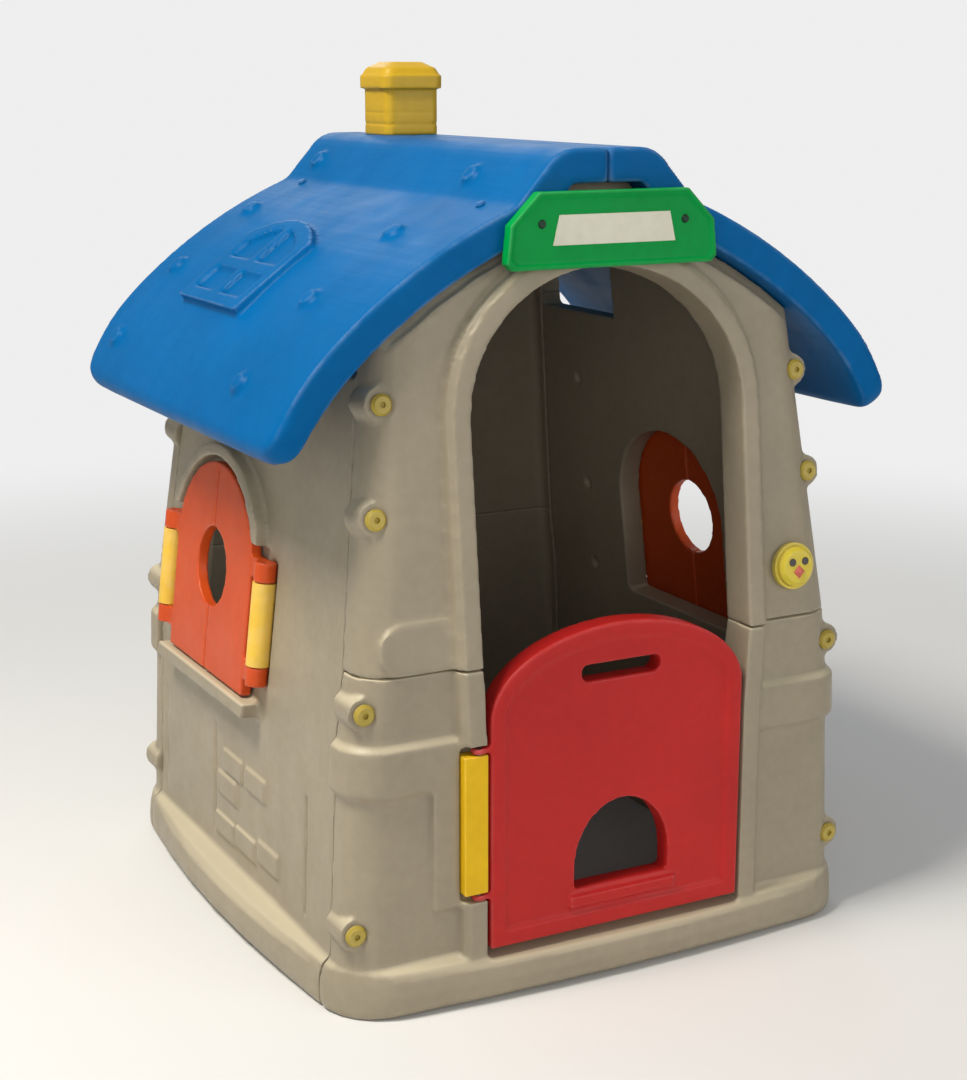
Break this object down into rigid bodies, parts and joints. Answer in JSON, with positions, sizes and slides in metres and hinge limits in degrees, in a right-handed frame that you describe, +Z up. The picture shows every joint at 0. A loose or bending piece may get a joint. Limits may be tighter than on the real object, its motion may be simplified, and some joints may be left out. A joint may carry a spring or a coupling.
{
  "type": "plastic playhouse",
  "caption": "Toddler playhouse of moulded plastic panels with a bell-shaped roof, arched doorway, half door, paired window shutters, chimney, sign and doorbell",
  "frame": {"origin": "On the floor plane, under the centre of the bounding box", "axes": "+X to the right along the front, +Y from the front to the back, +Z up"},
  "size_m": [1.0716, 1.02, 1.381],
  "materials": {
    "wall": "warm grey, fine orange-peel texture",
    "roof": "saturated blue, fine orange-peel texture",
    "yellow": "warm yellow, satin",
    "green": "deep green, satin",
    "label": "bare cream plate",
    "red": "brick red, fine orange-peel texture",
    "orange": "orange, fine orange-peel texture",
    "pin_steel": "zinc-plated pins",
    "dark": "dark brown dots",
    "beak": "orange"
  },
  "bodies": {
    "house": {"front_wall_upper": "wall", "front_wall_lower": "wall", "back_wall_upper": "wall", "back_wall_lower": "wall", "left_wall": "wall", "right_wall": "wall", "roof_left": "roof", "roof_right": "roof", "roof_screws": "roof", "chimney": "yellow", "sign_board": "green", "sign_label": "label", "sign_screws": "green", "front_corner_screws": "yellow", "back_corner_screws": "yellow", "door_hinge_block": "yellow", "door_hinge_pin": "pin_steel", "barrel_left_front": "yellow", "barrel_left_rear": "yellow", "barrel_right_front": "yellow", "barrel_right_rear": "yellow", "shutter_hinge_pins": "pin_steel", "doorbell_base": "yellow"},
    "half_door": {"half_door": "red"},
    "shutter_left_front": {"shutter_left_front": "orange"},
    "shutter_left_rear": {"shutter_left_rear": "orange"},
    "shutter_right_front": {"shutter_right_front": "orange"},
    "shutter_right_rear": {"shutter_right_rear": "orange"},
    "doorbell_button": {"doorbell_button": "yellow", "doorbell_eyes": "dark", "doorbell_beak": "beak"}
  },
  "joints": [
    {"name": "door_swing", "type": "hinge", "parent": "house", "child": "half_door", "pos_m": [-0.24, -0.476, 0.283], "axis": [0, 0, 1], "range_deg": [-105, 0]},
    {"name": "shutter_left_front_swing", "type": "hinge", "parent": "house", "child": "shutter_left_front", "pos_m": [-0.43081, -0.105, 0.52095], "axis": [0.1184, 0, 0.993], "range_deg": [0, 110]},
    {"name": "shutter_left_rear_swing", "type": "hinge", "parent": "house", "child": "shutter_left_rear", "pos_m": [-0.43081, 0.319, 0.52095], "axis": [0.1184, 0, 0.993], "range_deg": [-110, 0]},
    {"name": "shutter_right_rear_swing", "type": "hinge", "parent": "house", "child": "shutter_right_rear", "pos_m": [0.42749, 0.162, 0.54875], "axis": [-0.1184, 0, 0.993], "range_deg": [0, 110]},
    {"name": "shutter_right_front_swing", "type": "hinge", "parent": "house", "child": "shutter_right_front", "pos_m": [0.42749, -0.262, 0.54875], "axis": [-0.1184, 0, 0.993], "range_deg": [-110, 0]},
    {"name": "doorbell_press", "type": "slide", "parent": "house", "child": "doorbell_button", "axis": [0, 0.9942, -0.108], "range_m": [0, 0.003], "stiffness_N_per_m": 400, "springref_m": -0.001}
  ]
}
